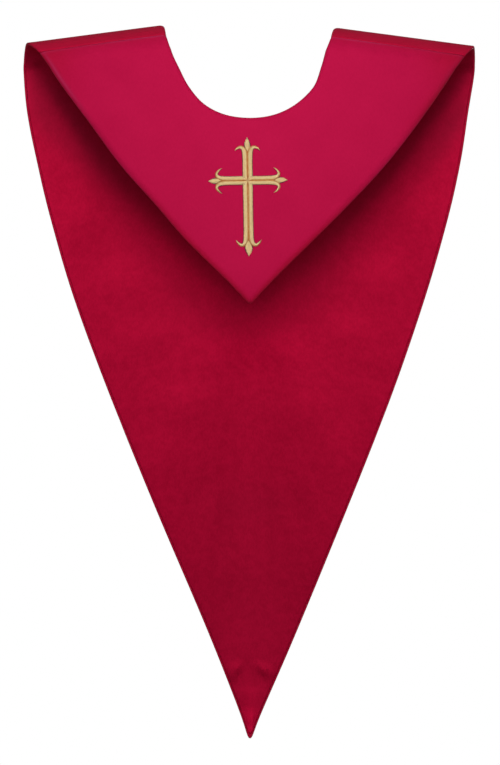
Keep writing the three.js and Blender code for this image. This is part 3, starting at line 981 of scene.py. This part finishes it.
def satin_stitch_tree():
    """Lays threads side by side across a guide line, each an arch from edge to edge of the row."""
    tree = bpy.data.node_groups.new("satin_stitches", "GeometryNodeTree")
    given = group_input(
        tree,
        {
            "Spacing": ("NodeSocketFloat", 0.4 * MM),
            "Thread radius": ("NodeSocketFloat", 0.2 * MM),
            "Height": ("NodeSocketFloat", 1.5 * MM),
            "Slant": ("NodeSocketFloat", 0.2),
            "Unevenness": ("NodeSocketFloat", 0.05),
            "Seed": ("NodeSocketInt", 7),
            "Material": ("NodeSocketMaterial", None),
        },
    )
    lines = add_node(tree, "GeometryNodeMeshToCurve", {}, {"Mesh": given["Geometry"]})
    places = add_node(
        tree,
        "GeometryNodeResampleCurve",
        {"mode": "LENGTH"},
        {"Curve": lines, "Length": given["Spacing"]},
    )
    out = field(tree, "FLOAT_VECTOR", "cloth_out")
    half = field(tree, "FLOAT", "half_width")
    hand = field(tree, "FLOAT", "hand")
    tangent = add_node(tree, "GeometryNodeInputTangent", {}, {})
    square = vector_maths(tree, "CROSS_PRODUCT", out, tangent)
    across = scaled(tree, square, hand)
    slanted = scaled(tree, tangent, given["Slant"])
    thread_way = vector_maths(tree, "ADD", across, slanted)
    turn = add_node(
        tree,
        "FunctionNodeAxesToRotation",
        {"primary_axis": "Z", "secondary_axis": "X"},
        {"Primary Axis": out, "Secondary Axis": thread_way},
    )
    uneven = add_node(
        tree,
        "FunctionNodeRandomValue",
        {"data_type": "FLOAT"},
        {2: -1.0, 3: 1.0, "Seed": given["Seed"]},
        output=1,
    )
    wide = half * (1 / NOMINAL_HALF) * (1 + uneven * given["Unevenness"])
    low = half.maths("MINIMUM", NARROW_RISE + half * (1 / MM), 1.0)
    size = add_node(tree, "ShaderNodeCombineXYZ", {}, {"X": wide, "Y": 1.0, "Z": low})
    arch = add_node(
        tree,
        "GeometryNodeCurvePrimitiveLine",
        {},
        {"Start": (-NOMINAL_HALF, 0, 0), "End": (NOMINAL_HALF, 0, 0)},
    )
    bends = {"Curve": arch, "Count": 11}
    arch = add_node(tree, "GeometryNodeResampleCurve", {"mode": "COUNT"}, bends)
    position = add_node(tree, "GeometryNodeInputPosition", {}, {})
    aside = add_node(tree, "ShaderNodeSeparateXYZ", {}, {0: position}) * (1 / NOMINAL_HALF)
    spread = add_node(tree, "ShaderNodeMath", {"operation": "ABSOLUTE"}, {0: aside})
    spread = spread.maths("POWER", spread, ROW_CROWN)
    crown = add_node(tree, "ShaderNodeMath", {"operation": "SQRT"}, {0: 1.0 - spread * 0.999})
    rise = add_node(tree, "ShaderNodeCombineXYZ", {}, {"Z": crown * given["Height"]})
    arch = add_node(
        tree,
        "GeometryNodeStoreNamedAttribute",
        {"data_type": "FLOAT", "domain": "POINT"},
        {"Geometry": arch, "Name": "toward_groove", "Value": aside},
    )
    arch = add_node(tree, "GeometryNodeSetPosition", {}, {"Geometry": arch, "Offset": rise})
    ring = add_node(
        tree,
        "GeometryNodeCurvePrimitiveCircle",
        {"mode": "RADIUS"},
        {"Resolution": 5, "Radius": given["Thread radius"]},
    )
    thread = add_node(
        tree,
        "GeometryNodeCurveToMesh",
        {},
        {"Curve": arch, "Profile Curve": ring, "Fill Caps": True},
    )
    threads = add_node(
        tree,
        "GeometryNodeInstanceOnPoints",
        {},
        {"Points": places, "Instance": thread, "Rotation": turn, "Scale": size},
    )
    finish_group(tree, threads, given["Material"])
    return tree


def grown(guide, tree, name, inputs):
    """The plain mesh that a tree makes on a guide, as a piece of its own."""
    modifier = guide.modifiers.new(tree.name, "NODES")
    modifier.node_group = tree
    for item in tree.interface.items_tree:
        if item.in_out == "INPUT" and item.name in inputs:
            modifier[item.identifier] = inputs[item.name]
    evaluated = guide.evaluated_get(bpy.context.evaluated_depsgraph_get())
    mesh = bpy.data.meshes.new_from_object(evaluated)
    mesh.name = name
    piece = put(name, mesh)
    bpy.data.objects.remove(guide)
    return piece


GOLD_TOP = (0.86, 0.66, 0.32, 1)
GOLD_SHADE_PAINT = (0.62, 0.24, 0.05, 1)
GROOVE_SLOPE = {"From Min": 0.2, "From Max": 0.9}  # of the way from a row's middle to the groove


def gold_thread():
    """Rayon embroidery thread in pale gold, with painted shade in warm brown down in each beam's
    groove between its two rows and at the mitres of the crossing.
    """
    material, tree, shader = new_material("gold_rayon_thread")
    toward = carried(tree, "toward_groove")
    grooved = carried(tree, "grooved")
    mitred = carried(tree, "mitred")
    # Painted shade: brown down in the groove and at the mitres, where shade falls between the rows.
    down_in = toward.maths("MAXIMUM", toward, -1.0 * toward * mitred)
    deep = add_node(
        tree,
        "ShaderNodeMapRange",
        {"interpolation_type": "SMOOTHSTEP"},
        {"Value": down_in, **GROOVE_SLOPE},
    )
    place = add_node(tree, "ShaderNodeTexCoord", {}, {}, output=3)
    patches = noise(tree, place, 420.0, 2.0)
    colour = mix_colours(tree, deep * grooved * 0.9 + (patches - 0.5) * 0.8, GOLD_TOP, GOLD_SHADE_PAINT)
    tree.links.new(colour.socket, shader.inputs["Base Color"])
    rough = 0.42 + (patches - 0.5) * 0.2
    tree.links.new(rough.socket, shader.inputs["Roughness"])
    shader.inputs["Specular IOR Level"].default_value = 0.4
    return material


PADDING = {"foot": 0.05 * MM, "margin": 0.12 * MM}
RISING = [(-1.1, 0), (-0.95, 0.3), (-0.5, 0.62)]  # aside and up, as shares of width and height
PADDING_CROWN = [*RISING, (0, 0.72), *((-aside, up) for aside, up in reversed(RISING))]


def padding(lines):
    """The padding that the threads are laid over: a low rounded ridge under every row."""
    points, toward, faces, start = [], [], [], 0
    for line in lines:
        way = np.gradient(line["points"], axis=0)
        across = np.cross(line["cloth_out"], way)
        across /= np.linalg.norm(across, axis=1, keepdims=True)
        low = np.minimum(1, NARROW_RISE + line["half_width"] / MM)
        for share, height in PADDING_CROWN:
            toward.append(share * line["hand"] * line["grooved"])
            aside = across * (share * (line["half_width"] + PADDING["margin"]))[:, None]
            rise = PADDING["foot"] + CROSS["height"] * height * low
            up = line["cloth_out"] * rise[:, None]
            points.append(line["points"] + aside + up)
        count, around = len(line["points"]), len(PADDING_CROWN)
        number = start + np.arange(count)[:, None] + count * np.arange(around)[None, :]
        for k in range(count - 1):
            for i in range(around):
                j = (i + 1) % around
                faces.append((number[k, i], number[k + 1, i], number[k + 1, j], number[k, j]))
        faces += [tuple(number[0, :]), tuple(number[-1, ::-1])]
        start += count * around
    mesh = bpy.data.meshes.new("cross_padding")
    faces = [tuple(int(i) for i in face) for face in faces]
    mesh.from_pydata(np.concatenate(points).tolist(), [], faces)
    carry(mesh, "toward_groove", np.concatenate(toward))
    mesh.shade_smooth()
    return put("cross_padding", mesh)


cross_lines = stitched_lines()
thread_finish = gold_thread()
cross_padding = padding(cross_lines)
# The padding shows as a thin rim round every row, and its colour is painted: a dark painted shadow
# on the outer sides and brown painted shade in the groove.
PADDING_SHADOW_PAINT = (0.11, 0.03, 0.07, 1)
PADDING_SHADE_PAINT = (0.52, 0.20, 0.045, 1)
underlay, underlay_tree, underlay_shader = new_material("underlay_painted_shadow")
inner = carried(underlay_tree, "toward_groove") * 2.0
underlay_shade = mix_colours(underlay_tree, inner, PADDING_SHADOW_PAINT, PADDING_SHADE_PAINT)
underlay_tree.links.new(underlay_shade.socket, underlay_shader.inputs["Base Color"])
underlay_shader.inputs["Roughness"].default_value = 0.7
cross_padding.data.materials.append(underlay)
cross_threads = grown(
    guide_mesh("cross_guide", cross_lines),
    satin_stitch_tree(),
    "cross_satin_stitches",
    {
        "Spacing": 0.38 * MM,
        "Thread radius": 0.21 * MM,
        "Height": 1.3 * MM,
        "Material": thread_finish,
    },
)
for piece in (cross_padding, cross_threads):
    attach(piece, "root")
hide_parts("cross_embroidery")

# ---- Update --------------------------------------------------------------------------------------
# The view layer is brought up to date.

bpy.context.view_layer.update()
